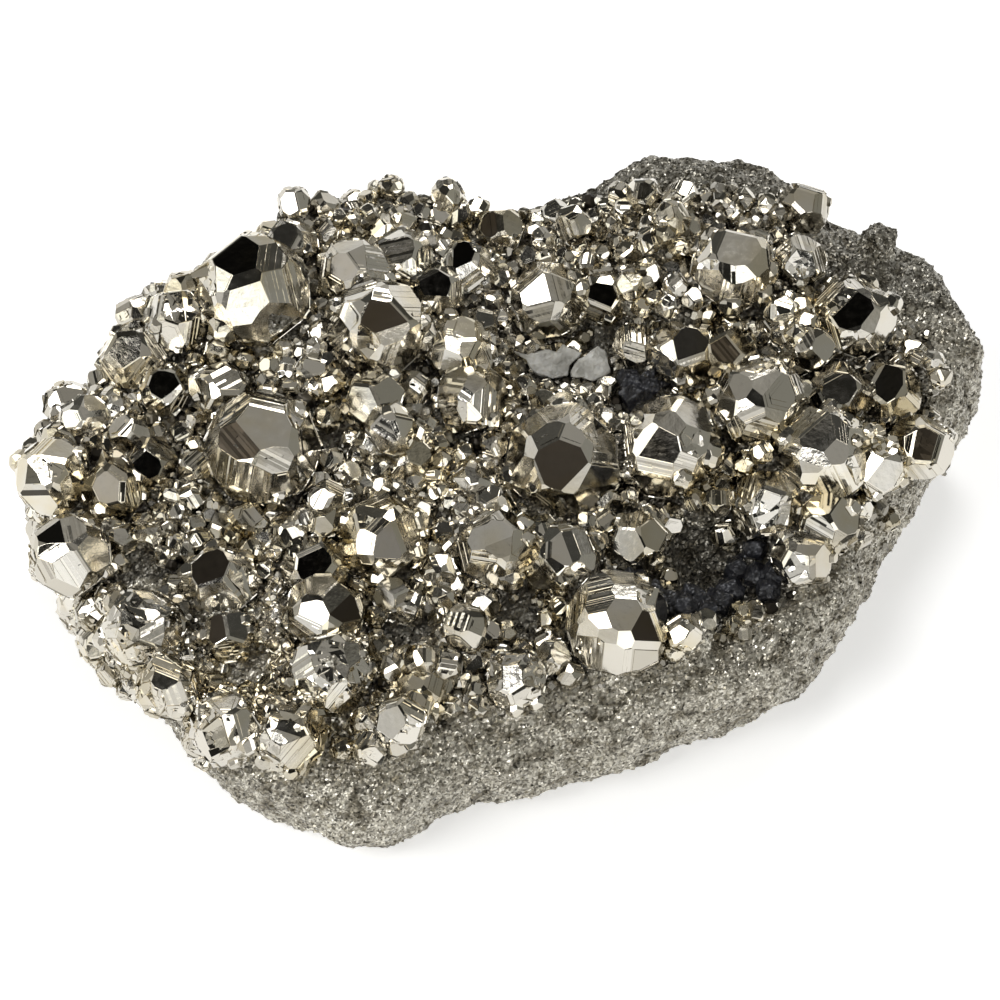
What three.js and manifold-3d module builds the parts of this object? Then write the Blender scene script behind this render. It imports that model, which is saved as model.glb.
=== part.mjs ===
// A pyrite cluster: a slab of fine-grained pyrite rock carrying a crust of intergrown pyritohedral crystals,
// with two patches of dark sphalerite and two thin quartz chips caught between the crystals.
// Millimetres, +Z up. X runs along the slab, Y from its front edge to its back edge.
// The origin is at the middle of the bounding box's foot, on the flat that the rock rests on.
import * as THREE from "three";
import { ConvexGeometry } from "three/addons/geometries/ConvexGeometry.js";
import { mergeVertices } from "three/addons/utils/BufferGeometryUtils.js";
import Module from "manifold-3d";

const wasm = await Module();
wasm.setup();

// ---- Driving dimensions ----

const GAP = 0.3; // clearance between neighbouring solids
const FRONT_BED_HEIGHT = 26.8; // height of the crystal bed halfway between the front and back edges
const BED_SLOPE = 0.17; // rise of the bed per millimetre towards the back
const SUNK_SHARE = 0.42; // how far a crystal's centre stands above the bed, as a share of its radius
const RING_STEPS = 60;
const ROCK_RELIEF = 0.7; // height of the broad unevenness of the rock's walls

const BACK_RIM_RISE = 4; // the bed turns up towards its back edge
const BACK_RIM = [44, 54];

// Rises and hollows of the bed: centre, radius and height.
const BED_SWELLS = [
  { at: [-33, 22], radius: 22, height: 8 },
  { at: [38, 32], radius: 20, height: 7 },
  { at: [71, 30], radius: 9, height: 3 },
  { at: [58, 38], radius: 8, height: 2.5 },
  { at: [8, 22], radius: 12, height: -4 },
  { at: [33, -13], radius: 9, height: -7 },
  { at: [18, 0], radius: 7, height: -4 },
];

// Plan outline of the slab at its widest level, anticlockwise from the right-hand tip.
const OUTLINE = [
  [78.5, 26], [76, 33], [65, 45.5], [53, 51.5], [43, 59], [36, 61.5], [24, 59.5], [12, 54], [2, 51.5],
  [-11, 53.5], [-21, 54], [-34, 48], [-50, 36.5], [-60, 29.5], [-66, 18.5], [-74.5, 5], [-70.5, -3],
  [-60, -21.5], [-49.5, -35.5], [-37.5, -46.5], [-27, -52], [-18, -53.5], [-10, -49.5], [1, -44], [12, -42],
  [29, -35], [35, -33.5], [46.5, -25.5], [53, -18], [59.5, -4.5], [72, 16],
].map(([x, y]) => new THREE.Vector3(x, y, 0));

// Section of the slab from the middle of its foot, over its side, to the middle of its bed.
// out: share of the plan outline. up: share of the wall's height. drop: depth below the bed.
const SECTION = [
  { out: 0.3, up: 0 },
  { out: 0.6, up: 0 },
  { out: 0.84, up: 0 },
  { out: 0.92, up: 0.06 },
  { out: 0.975, up: 0.2 },
  { out: 1.0, up: 0.45 },
  { out: 1.0, up: 0.72 },
  { out: 0.985, up: 0.9 },
  { out: 0.95, drop: 1.2 },
  { out: 0.88, drop: 0 },
  { out: 0.78, drop: 0 },
  { out: 0.66, drop: 0 },
  { out: 0.53, drop: 0 },
  { out: 0.4, drop: 0 },
  { out: 0.26, drop: 0 },
  { out: 0.13, drop: 0 },
];

// The large crystals. at: plan place. r: radius. face: direction of the main face, as compass bearing
// (0 towards the front, 90 towards +X) and height in degrees. next: rough direction of the face beside it.
// flats: directions of extra flats that cut across the regular faces.
const CRYSTALS = [
  { name: "crystal_crown", at: [-38, 25], r: 8.8, face: [-40, 75], next: [5, 20], flats: [[5, 33]] },
  { name: "crystal_brown_face", at: [-19, 20], r: 7.7, face: [12, 52], next: [-45, 30] },
  { name: "crystal_centre", at: [9.5, 1], r: 8.7, face: [-3, 46], next: [-110, 75] },
  { name: "crystal_front", at: [17, -27], r: 7.6, face: [0, 69], next: [-30, 10] },
  { name: "crystal_east", at: [55, 24], r: 6.4, face: [-26, 58], next: [0, 18] },
  { name: "crystal_big_left", at: [-36, 0], r: 8.5, face: [23, 74], next: [-32, 25] },
  { name: "crystal_west_lower", at: [-64, -15.5], r: 6.2, face: [-90, 80], next: [6, 26] },
  { name: "crystal_west_upper", at: [-68, -2], r: 5.8, face: [-30, 43], next: [130, 75] },
  { name: "crystal_mid_right", at: [26, 3], r: 7.8, face: [-26, 43], next: [72, 73] },
  { name: "crystal_broad_right", at: [39.5, 9], r: 7.4, face: [27, 76], next: [0, 18] },
  { name: "crystal_striped_right", at: [49, 1], r: 7.5, face: [-30, 73], next: [4, 24] },
  { name: "crystal_peak_right", at: [36, 30], r: 6.6, face: [15, 74], next: [-29, 39] },
  { name: "crystal_dark_square", at: [-18, -13], r: 6.3, face: [16, 45], next: [-58, 38] },
  { name: "crystal_rounded_back", at: [7.5, 31], r: 6.2, face: [-31, 54], next: [-9, 20] },
  { name: "crystal_wedge", at: [-23, 31], r: 5.5, face: [-27, 45], next: [18, 21] },
  { name: "crystal_striped_back", at: [-15.5, 36], r: 4.8, face: [-21, 60] },
  { name: "crystal_pale_face", at: [-0.5, -14.5], r: 5.9, face: [0, 76], next: [-58, 44] },
  { name: "crystal_grey_face", at: [9, -16], r: 5.6, face: [15, 70] },
  { name: "crystal_left_slope_1", at: [-26, -25], r: 6.0, face: [-26, 36], next: [54, 54] },
  { name: "crystal_left_slope_2", at: [-24.5, -34.5], r: 6.2, face: [-27, 38], next: [40, 57] },
  { name: "crystal_left_slope_3", at: [-52.5, -27], r: 6.0, face: [-10, 40] },
  { name: "crystal_left_slope_4", at: [-41.5, -19.5], r: 5.1, face: [-63, 75], next: [4, 31] },
  { name: "crystal_left_slope_5", at: [-27.5, -17], r: 4.6, face: [10, 57] },
  { name: "crystal_left_slope_6", at: [-40, -28], r: 3.8, face: [-50, 65] },
  { name: "crystal_left_slope_7", at: [-30, -44], r: 5.0, face: [-5, 50] },
  { name: "crystal_left_slope_8", at: [-39, -43], r: 5.0, face: [-20, 40] },
  { name: "crystal_left_slope_9", at: [-48, -36.5], r: 4.6, face: [-45, 35] },
  { name: "crystal_west_1", at: [-57, 18], r: 5.0, face: [-10, 60] },
  { name: "crystal_west_2", at: [-50, 23], r: 5.0, face: [15, 70] },
  { name: "crystal_west_3", at: [-51.5, 12], r: 3.9, face: [0, 54] },
  { name: "crystal_west_4", at: [-42.5, 10], r: 4.3, face: [-53, 30], next: [14, 70] },
  { name: "crystal_west_5", at: [-53, 0], r: 3.7, face: [0, 53] },
  { name: "crystal_west_6", at: [-58.5, -4], r: 4.5, face: [-11, 55] },
  { name: "crystal_north_1", at: [-5.5, 36.5], r: 4.4, face: [-35, 71], next: [13, 36] },
  { name: "crystal_north_2", at: [-10, 31], r: 4.0, face: [-13, 57] },
  { name: "crystal_north_3", at: [-33.5, 37], r: 4.2, face: [-20, 65] },
  { name: "crystal_north_4", at: [0, 44], r: 3.8, face: [-47, 58] },
  { name: "crystal_middle_1", at: [-6.5, 20], r: 5.4, face: [-22, 30], next: [-10, 70] },
  { name: "crystal_middle_2", at: [-4.5, 11.5], r: 5.4, face: [23, 40], next: [-35, 60] },
  { name: "crystal_middle_3", at: [-19.5, 9], r: 4.3, face: [-35, 38], next: [20, 60] },
  { name: "crystal_middle_4", at: [20.5, -12], r: 4.3, face: [-35, 40], next: [47, 60] },
  { name: "crystal_middle_5", at: [16.5, 31], r: 4.0, face: [-9, 52] },
  { name: "crystal_right_1", at: [28.5, 18], r: 5.0, face: [15, 56] },
  { name: "crystal_right_2", at: [35, 17], r: 4.4, face: [-20, 60] },
  { name: "crystal_right_3", at: [52, 12], r: 4.6, face: [-13, 62], next: [-5, 10] },
  { name: "crystal_right_4", at: [60, 13], r: 4.8, face: [-29, 62], next: [15, 20] },
  { name: "crystal_right_5", at: [64, 3.5], r: 4.7, face: [0, 55] },
  { name: "crystal_right_6", at: [57, 0], r: 4.5, face: [17, 30], next: [60, 78] },
  { name: "crystal_right_7", at: [40.5, -5.5], r: 5.2, face: [0, 40] },
  { name: "crystal_right_8", at: [49, -9.5], r: 4.5, face: [-26, 30], next: [26, 55] },
  { name: "crystal_right_9", at: [45, -14.5], r: 4.2, face: [-10, 35] },
  { name: "crystal_back_right_1", at: [47, 33], r: 4.0, face: [-7, 35] },
  { name: "crystal_back_right_2", at: [48.5, 45], r: 4.2, face: [0, 70] },
  { name: "crystal_near_edge", at: [2, -35], r: 4.3, face: [-30, 63], next: [-30, 30] },
];

// Smaller crystals that are part of the rock's own crust: plan place and radius.
const CRUST_CRYSTALS = [
  [-33, 44, 3], [-28, 44, 2.6], [-22, 43, 3], [26, 38, 4], [28, 45, 3.3], [21.5, 46, 3.6], [35.5, 45, 4],
  [41.5, 43, 3.4], [22.5, 29, 3.6], [28.5, 25.5, 3.6], [45.5, 21, 3.8], [67, 16, 3.4], [39, 1.5, 3.6],
  [31, -4, 3.7], [-12, -42, 3.2], [-6, -28, 3.2], [-10.5, -32, 3.4], [-17, 3.5, 3.4], [60, 38.5, 3.6],
  [28, -28.5, 3], [-26, -9, 3.2],
];

// Sphalerite grains of each patch: plan place and radius.
const SPHALERITE_PATCHES = {
  sphalerite_front: [
    [20, -18.5, 2.2], [22.5, -20, 2], [24.5, -21.5, 2.1], [27, -22, 2.2], [30, -21.5, 2.2],
    [32.5, -19.5, 2.2], [34.5, -16.5, 2.4], [36, -12.5, 2.3], [38.5, -10, 1.9], [38.5, -14.5, 2.1],
    [41.5, -15, 2.1], [40, -18, 1.8], [28.5, -18.5, 2],
  ],
  sphalerite_back: [[20, 16, 2], [21, 13, 2.3], [23, 15, 2], [25, 16, 1.7]],
};

// Quartz plates that lean back: plan place of the middle and outline on the broad side.
const CHIPS = {
  quartz_chip_left: {
    at: [7.4, 21.3],
    outline: [
      [-5.3, 1.5], [-3.4, 0.2], [-2.3, -1.7], [0.6, -2.8], [3, -2.2], [3.4, -0.6], [5.2, 1.2], [2.3, 2.7],
      [1.4, 1.4], [-0.3, 1.8], [-3.3, 0.9],
    ],
  },
  quartz_chip_right: {
    at: [14.1, 19.7],
    outline: [[-3.2, -1.2], [-3, -2], [0.6, -2.7], [3, -1.4], [2.3, 1.9], [1.1, 2.7], [0, 1.9], [-2, 0.6]],
  },
};
const CHIP_THICKNESS = 1.4;
const CHIP_LIFT = 2.7; // height of a plate's middle above the bed
const CHIP_TILT = THREE.MathUtils.degToRad(40);

// ---- Solids ----

const solidOf = (geometry) => {
  const positions = new THREE.BufferGeometry().setAttribute("position", geometry.getAttribute("position"));
  const merged = mergeVertices(geometry.index ? positions.setIndex(geometry.index) : positions, 1e-4);
  return new wasm.Manifold(
    new wasm.Mesh({
      numProp: 3,
      vertProperties: merged.attributes.position.array,
      triVerts: new Uint32Array(merged.index.array),
    }),
  );
};

const geometryOf = (solid) => {
  const mesh = solid.getMesh();
  return new THREE.BufferGeometry()
    .setAttribute("position", new THREE.BufferAttribute(new Float32Array(mesh.vertProperties), 3))
    .setIndex(new THREE.BufferAttribute(new Uint32Array(mesh.triVerts), 1));
};

// Cutting can free a splinter, which is dropped.
const largestBody = (solid) =>
  solid.decompose().reduce((best, body) => (body.volume() > best.volume() ? body : best));

const joined = (solids) => solids.reduce((sum, solid) => sum.add(solid));

// Repeatable random numbers from 0 to 1.
const randomFrom = (seed) => {
  let state = seed * 2654435761;
  return () => {
    state = (state + 0x6d2b79f5) | 0;
    let mixed = Math.imul(state ^ (state >>> 15), 1 | state);
    mixed = (mixed + Math.imul(mixed ^ (mixed >>> 7), 61 | mixed)) ^ mixed;
    return ((mixed ^ (mixed >>> 14)) >>> 0) / 2 ** 32;
  };
};

// ---- The rock ----

const bedHeight = (x, y) =>
  BED_SWELLS.reduce((sum, { at, radius, height }) => {
    const squared = (x - at[0]) ** 2 + (y - at[1]) ** 2;
    return sum + height * Math.exp(-squared / radius ** 2);
  }, FRONT_BED_HEIGHT + BED_SLOPE * y + BACK_RIM_RISE * THREE.MathUtils.smoothstep(y, ...BACK_RIM));

const relief = (x, y, z) =>
  ROCK_RELIEF * (Math.sin(0.31 * x + 1.3 * Math.sin(0.17 * z)) + Math.sin(0.37 * y + 0.29 * z + 2));

function rockGeometry() {
  const rim = new THREE.CatmullRomCurve3(OUTLINE, true).getSpacedPoints(RING_STEPS).slice(0, RING_STEPS);
  const points = [new THREE.Vector3(0, 0, 0)];
  for (const { out, up, drop } of SECTION) {
    for (const edge of rim) {
      const [x, y] = [edge.x * out, edge.y * out];
      const wallTop = bedHeight(edge.x * 0.95, edge.y * 0.95) - 1.2;
      const onBed = up === undefined;
      const z = onBed ? bedHeight(x, y) - drop : up * wallTop;
      const swell = up === 0 || out < 0.9 ? 0 : relief(x, y, z) / edge.length();
      points.push(new THREE.Vector3(x * (1 + swell), y * (1 + swell), z));
    }
  }
  points.push(new THREE.Vector3(0, 0, bedHeight(0, 0)));
  const faces = [];
  const top = points.length - 1;
  for (let i = 0; i < RING_STEPS; i += 1) {
    const j = (i + 1) % RING_STEPS;
    faces.push(0, 1 + j, 1 + i);
    for (let ring = 0; ring < SECTION.length - 1; ring += 1) {
      const [low, high] = [1 + ring * RING_STEPS, 1 + (ring + 1) * RING_STEPS];
      faces.push(low + i, low + j, high + j, low + i, high + j, high + i);
    }
    const last = 1 + (SECTION.length - 1) * RING_STEPS;
    faces.push(last + i, last + j, top);
  }
  return new THREE.BufferGeometry().setFromPoints(points).setIndex(faces);
}

// ---- Crystals ----

// Outward directions of a form's faces: every sign and cyclic order of the three indices.
function formNormals(a, b, c) {
  const found = new Map();
  for (const [x, y, z] of [[a, b, c], [c, a, b], [b, c, a]])
    for (const sx of [1, -1])
      for (const sy of [1, -1])
        for (const sz of [1, -1]) {
          const normal = new THREE.Vector3(sx * x, sy * y, sz * z).normalize();
          found.set(normal.toArray().map((v) => v.toFixed(3) + 0).join(), normal);
        }
  return [...found.values()];
}

const MAIN_FACE = new THREE.Vector3(0, 1, 2).normalize();
const NEXT_FACE = new THREE.Vector3(1, 2, 0).normalize();
const PYRITOHEDRON = { normals: formNormals(0, 1, 2), distance: 0.92 };
const OCTAHEDRON = { normals: formNormals(1, 1, 1), distance: 1.01 };
const CUBE = { normals: formNormals(1, 0, 0), distance: 0.985 };
const DODECAHEDRON = { normals: formNormals(1, 1, 0), distance: 0.9 };
const PLAIN_PYRITE = [PYRITOHEDRON];
const DETAILED_PYRITE = [PYRITOHEDRON, OCTAHEDRON, CUBE];
const FLAT_DISTANCE = 0.86; // an extra flat's distance from the middle, as a share of the crystal's radius
const DETAILED_RADIUS = 5.3; // pyrite crystals from this radius up carry the minor forms too
const UNEVENNESS = 0.05; // natural crystals' faces lie at slightly unequal distances

// Corners of the solid that a set of planes encloses.
function cornersWithin(planes) {
  const corners = [];
  for (let i = 0; i < planes.length; i += 1)
    for (let j = i + 1; j < planes.length; j += 1)
      for (let k = j + 1; k < planes.length; k += 1) {
        const [p, q, r] = [planes[i], planes[j], planes[k]];
        const cross = new THREE.Vector3().crossVectors(q.normal, r.normal);
        const volume = p.normal.dot(cross);
        if (Math.abs(volume) < 1e-6) continue;
        const corner = cross
          .multiplyScalar(p.distance)
          .addScaledVector(new THREE.Vector3().crossVectors(r.normal, p.normal), q.distance)
          .addScaledVector(new THREE.Vector3().crossVectors(p.normal, q.normal), r.distance)
          .divideScalar(volume);
        const inside = planes.every((plane) => plane.normal.dot(corner) < plane.distance + 1e-6);
        if (inside && !corners.some((other) => other.distanceTo(corner) < 1e-3)) corners.push(corner);
      }
  return corners;
}

function crystalGeometry(forms, radius, seed, grown = 0) {
  const random = randomFrom(seed);
  const planes = forms.flatMap(({ normals, distance }) =>
    normals.map((normal) => ({
      normal,
      distance: radius * distance * (1 + UNEVENNESS * (2 * random() - 1)) + grown,
    })),
  );
  return new ConvexGeometry(cornersWithin(planes));
}

const direction = ([bearing, height]) => {
  const [b, h] = [bearing, height].map(THREE.MathUtils.degToRad);
  return new THREE.Vector3(Math.sin(b) * Math.cos(h), -Math.cos(b) * Math.cos(h), Math.sin(h));
};

// Axes with the first along a direction and the second in the plane of another.
const axesAlong = (first, other) => {
  const x = first.clone().normalize();
  const z = new THREE.Vector3().crossVectors(x, other).normalize();
  return new THREE.Matrix4().makeBasis(x, new THREE.Vector3().crossVectors(z, x), z);
};

function placeOf({ at, r, face, next }, seed) {
  const turned = next ?? [face[0] + 40 + 280 * randomFrom(seed)(), 5];
  const place = axesAlong(direction(face), direction(turned));
  place.multiply(axesAlong(MAIN_FACE, NEXT_FACE).invert());
  return place.setPosition(at[0], at[1], bedHeight(...at) + SUNK_SHARE * r);
}

// A crystal that is turned by its seed, with its main face looking mostly up.
const looseCrystal = (forms, [x, y, r], seed, grown = 0) => {
  const face = [360 * randomFrom(seed)(), 55];
  const place = placeOf({ at: [x, y], r, face }, seed);
  return solidOf(crystalGeometry(forms, r, seed, grown).applyMatrix4(place));
};

function chipSolid({ at, outline }, grown = 0) {
  const spread = 1 + grown / 3;
  const shape = new THREE.Shape(outline.map(([x, y]) => new THREE.Vector2(x * spread, y * spread)));
  const depth = CHIP_THICKNESS + 2 * grown;
  const plate = new THREE.ExtrudeGeometry(shape, { depth, bevelEnabled: false });
  plate.translate(0, 0, -depth / 2).rotateX(CHIP_TILT);
  return solidOf(plate.translate(at[0], at[1], bedHeight(...at) + CHIP_LIFT));
}

// ---- Assembly ----

const PYRITE = new THREE.MeshStandardMaterial({ color: 0xcabf9f, roughness: 0.18, metalness: 1 });
const ROCK = new THREE.MeshStandardMaterial({ color: 0xa39c89, roughness: 0.45, metalness: 0.9 });
const SPHALERITE = new THREE.MeshStandardMaterial({ color: 0x2b2d33, roughness: 0.4, metalness: 0.3 });
const QUARTZ = new THREE.MeshStandardMaterial({ color: 0xcfccc2, roughness: 0.35, metalness: 0 });

const cluster = new THREE.Group();
const settled = []; // grown copies of the solids placed so far, which later ones are cut back from

function settle(name, solid, grown, material, place = new THREE.Matrix4()) {
  const near = settled.filter((other) => !other.intersect(solid).isEmpty());
  const own = largestBody(near.reduce((rest, other) => rest.subtract(other), solid));
  const mesh = new THREE.Mesh(geometryOf(own).applyMatrix4(place.clone().invert()), material);
  mesh.name = name;
  mesh.applyMatrix4(place);
  cluster.add(mesh);
  settled.push(grown);
}

CRYSTALS.forEach((crystal, index) => {
  const seed = index + 1;
  const place = placeOf(crystal, seed);
  const turnedBack = new THREE.Matrix4().extractRotation(place).invert();
  const flats = (crystal.flats ?? []).map((flat) => direction(flat).applyMatrix4(turnedBack));
  const regular = crystal.r >= DETAILED_RADIUS ? DETAILED_PYRITE : PLAIN_PYRITE;
  const forms = [...regular, { normals: flats, distance: FLAT_DISTANCE }];
  const shaped = (grown) => solidOf(crystalGeometry(forms, crystal.r, seed, grown).applyMatrix4(place));
  settle(crystal.name, shaped(0), shaped(GAP), PYRITE, place);
});

for (const [name, chip] of Object.entries(CHIPS)) settle(name, chipSolid(chip), chipSolid(chip, GAP), QUARTZ);

for (const [name, grains] of Object.entries(SPHALERITE_PATCHES)) {
  const patch = (grown) =>
    joined(grains.map((grain, index) => looseCrystal([DODECAHEDRON], grain, 200 + index, grown)));
  settle(name, patch(0), patch(GAP), SPHALERITE);
}

const crust = CRUST_CRYSTALS.map((crystal, index) => looseCrystal(PLAIN_PYRITE, crystal, 100 + index));
settle("pyrite_rock", joined([solidOf(rockGeometry()), ...crust]), null, ROCK);

const box = new THREE.Box3().setFromObject(cluster, true);
const middle = box.getCenter(new THREE.Vector3());
cluster.position.set(-middle.x, -middle.y, -box.min.z);

export default cluster;
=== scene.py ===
"""Looks of a pyrite cluster: faceted crystals, a druse of small ones, granular rock, sphalerite and quartz.

Metres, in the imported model's frame: +Z up, X along the slab, Y from its low front edge to its high back.
Sizes written with MM are millimetres.
"""

import itertools
import math

import bmesh
import bpy
import numpy as np
from mathutils import Matrix, Vector, noise
from mathutils.bvhtree import BVHTree


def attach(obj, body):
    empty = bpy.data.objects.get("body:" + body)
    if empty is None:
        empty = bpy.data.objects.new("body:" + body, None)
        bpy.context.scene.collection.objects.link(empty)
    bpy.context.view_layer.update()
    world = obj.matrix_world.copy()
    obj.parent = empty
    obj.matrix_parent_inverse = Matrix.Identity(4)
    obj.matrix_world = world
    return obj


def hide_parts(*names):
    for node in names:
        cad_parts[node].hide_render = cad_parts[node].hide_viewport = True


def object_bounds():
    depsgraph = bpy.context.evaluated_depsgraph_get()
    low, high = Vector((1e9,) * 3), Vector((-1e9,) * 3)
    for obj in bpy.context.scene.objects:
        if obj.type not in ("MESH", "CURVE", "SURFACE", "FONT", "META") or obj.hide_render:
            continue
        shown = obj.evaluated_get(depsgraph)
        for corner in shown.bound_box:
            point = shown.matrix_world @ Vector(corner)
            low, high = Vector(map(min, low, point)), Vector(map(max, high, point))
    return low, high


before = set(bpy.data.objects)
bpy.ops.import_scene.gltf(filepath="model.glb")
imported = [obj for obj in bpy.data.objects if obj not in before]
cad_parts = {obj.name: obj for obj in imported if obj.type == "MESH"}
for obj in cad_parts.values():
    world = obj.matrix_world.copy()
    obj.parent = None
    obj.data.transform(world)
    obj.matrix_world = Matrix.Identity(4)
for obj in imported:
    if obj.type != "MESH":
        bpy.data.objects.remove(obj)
cad_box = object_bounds()

MM = 0.001
BED_CENTRE = Vector((-1.9 * MM, -4.4 * MM, 21.3 * MM))  # the middle of the slab, where the camera looks
VIEW_HEIGHT = math.radians(50)  # the camera looks down on the crystals from this angle
CAMERA_DISTANCE = 364.93 * MM

# ---------------------------------------------------------------- meshes


class Shell:
    """Corners and faces gathered from many small solids, turned into one object at the end."""

    def __init__(self):
        self.corners = []
        self.faces = []
        self.tones = []
        self.count = 0

    def add(self, corners, faces, tones):
        """The tones are one number for all the faces or one for each."""
        self.corners.append(np.asarray(corners, float))
        self.faces += [[self.count + int(i) for i in face] for face in faces]
        self.tones += list(np.broadcast_to(tones, len(faces)))
        self.count += len(corners)

    def piece(self, name, material, slot, replaced=()):
        """The gathered solids as one named piece."""
        mesh = bpy.data.meshes.new(name)
        mesh.from_pydata(np.vstack(self.corners), [], self.faces)
        tone = mesh.attributes.new("tone", "FLOAT", "FACE")
        tone.data.foreach_set("value", self.tones)
        return finished(name, mesh, material, replaced)


def finished(name, mesh, material, replaced=()):
    """The mesh as a named piece that rides on the rock and stands for the replaced CAD nodes."""
    mesh.materials.clear()
    mesh.materials.append(material)
    piece = bpy.data.objects.new(name, mesh)
    bpy.context.scene.collection.objects.link(piece)
    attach(piece, "root")
    if replaced:
        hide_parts(*replaced)
    return piece


def arrays_of(mesh):
    """Corner positions and normals of a mesh."""
    corners = np.empty(len(mesh.vertices) * 3)
    normals = np.empty(len(mesh.vertices) * 3)
    mesh.vertices.foreach_get("co", corners)
    mesh.vertices.foreach_get("normal", normals)
    return corners.reshape(-1, 3), normals.reshape(-1, 3)


def remeshed(nodes, voxel):
    """One even mesh of small quads over the union of some CAD nodes."""
    joined = bmesh.new()
    for node in nodes:
        joined.from_mesh(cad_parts[node].data)
    mesh = bpy.data.meshes.new("union")
    joined.to_mesh(mesh)
    joined.free()
    worker = bpy.data.objects.new("remesh_worker", mesh)
    bpy.context.scene.collection.objects.link(worker)
    remesh = worker.modifiers.new("remesh", "REMESH")
    remesh.mode = "VOXEL"
    remesh.voxel_size = voxel
    depsgraph = bpy.context.evaluated_depsgraph_get()
    skin = bpy.data.meshes.new_from_object(worker.evaluated_get(depsgraph))
    bpy.data.objects.remove(worker)
    return skin


def noise_at(points, size):
    """Smooth noise from -1 to 1 at some points, with features of the given size."""
    return np.array([noise.noise(Vector(point)) for point in points / size])


def direction(bearing, height):
    """Unit vector from a bearing (0 towards the front, 90 towards +X) and a height, in degrees."""
    b, h = math.radians(bearing), math.radians(height)
    return Vector((math.sin(b) * math.cos(h), -math.cos(b) * math.cos(h), math.sin(h)))


# ---------------------------------------------------------------- crystal forms


def form(a, b, c):
    """Outward directions of the faces of a crystal form of pyrite's symmetry."""
    found = set()
    for x, y, z in ((a, b, c), (c, a, b), (b, c, a)):
        for sx, sy, sz in itertools.product((1, -1), repeat=3):
            found.add((sx * x, sy * y, sz * z))
    directions = np.array(sorted(found), float)
    return directions / np.linalg.norm(directions, axis=1)[:, None]


def enclosed(normals, distances):
    """The solid that a set of planes encloses: its corners, and each face's corners in order."""
    triples = np.array(list(itertools.combinations(range(len(normals)), 3)))
    matrices = normals[triples]
    sound = abs(np.linalg.det(matrices)) > 1e-5
    points = np.linalg.solve(matrices[sound], distances[triples][sound][..., None])[..., 0]
    size = distances.max()
    inside = (points @ normals.T <= distances + 1e-6 * size).all(axis=1)
    corners = []
    for point in points[inside]:
        if all(np.abs(point - other).max() > 1e-4 * size for other in corners):
            corners.append(point)
    corners = np.array(corners)
    faces = []
    for normal, distance in zip(normals, distances):
        on = np.flatnonzero(abs(corners @ normal - distance) < 1e-4 * size)
        if len(on) < 3:
            continue
        middle = corners[on].mean(axis=0)
        across = corners[on[0]] - middle
        along = np.cross(normal, across)
        spread = corners[on] - middle
        faces.append(on[np.argsort(np.arctan2(spread @ along, spread @ across))])
    return corners, faces


def solid_of(node):
    """Centre, plane directions and plane distances of the convex solid that a CAD crystal was cut from."""
    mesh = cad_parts[node].data
    corners, _ = arrays_of(mesh)
    centre = (corners.min(axis=0) + corners.max(axis=0)) / 2
    corners = corners - centre
    planes = []
    for face in mesh.polygons:
        normal = np.array(face.normal)
        if face.area < 0.02 * MM**2:
            continue
        distance = (corners[list(face.vertices)] @ normal).max()
        supporting = (corners @ normal).max() < distance + 0.01 * MM
        known = any(normal @ other > 0.9995 for other, _ in planes)
        if supporting and not known:
            planes.append((normal, distance))
    return centre, np.array([p[0] for p in planes]), np.array([p[1] for p in planes])


# ---------------------------------------------------------------- growth detail on crystal faces


def clipped(outline, towards, limit):
    """The part of a flat convex outline (2-D corners) that lies less far than the limit in a direction."""
    heights = outline @ towards - limit
    kept = []
    for i in range(len(outline)):
        j = (i + 1) % len(outline)
        if heights[i] <= 0:
            kept.append(outline[i])
        if heights[i] * heights[j] < 0:
            share = heights[i] / (heights[i] - heights[j])
            kept.append(outline[i] + share * (outline[j] - outline[i]))
    return np.array(kept)


def area_vector(corners):
    """The outward direction of a flat face, as long as its area."""
    middle = corners.mean(axis=0)
    return np.cross(corners - middle, np.roll(corners, -1, axis=0) - middle).sum(axis=0) / 2


def wide_faces(corners, faces):
    """Indices of the faces that are wide against the whole crystal, and their outward directions."""
    size = np.linalg.norm(corners, axis=1).mean()
    vectors = np.array([area_vector(corners[list(face)]) for face in faces])
    areas = np.linalg.norm(vectors, axis=1)
    wide = np.flatnonzero(2 * np.sqrt(areas / math.pi) > 0.35 * size)
    return wide, vectors[wide] / areas[wide][:, None]


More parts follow.
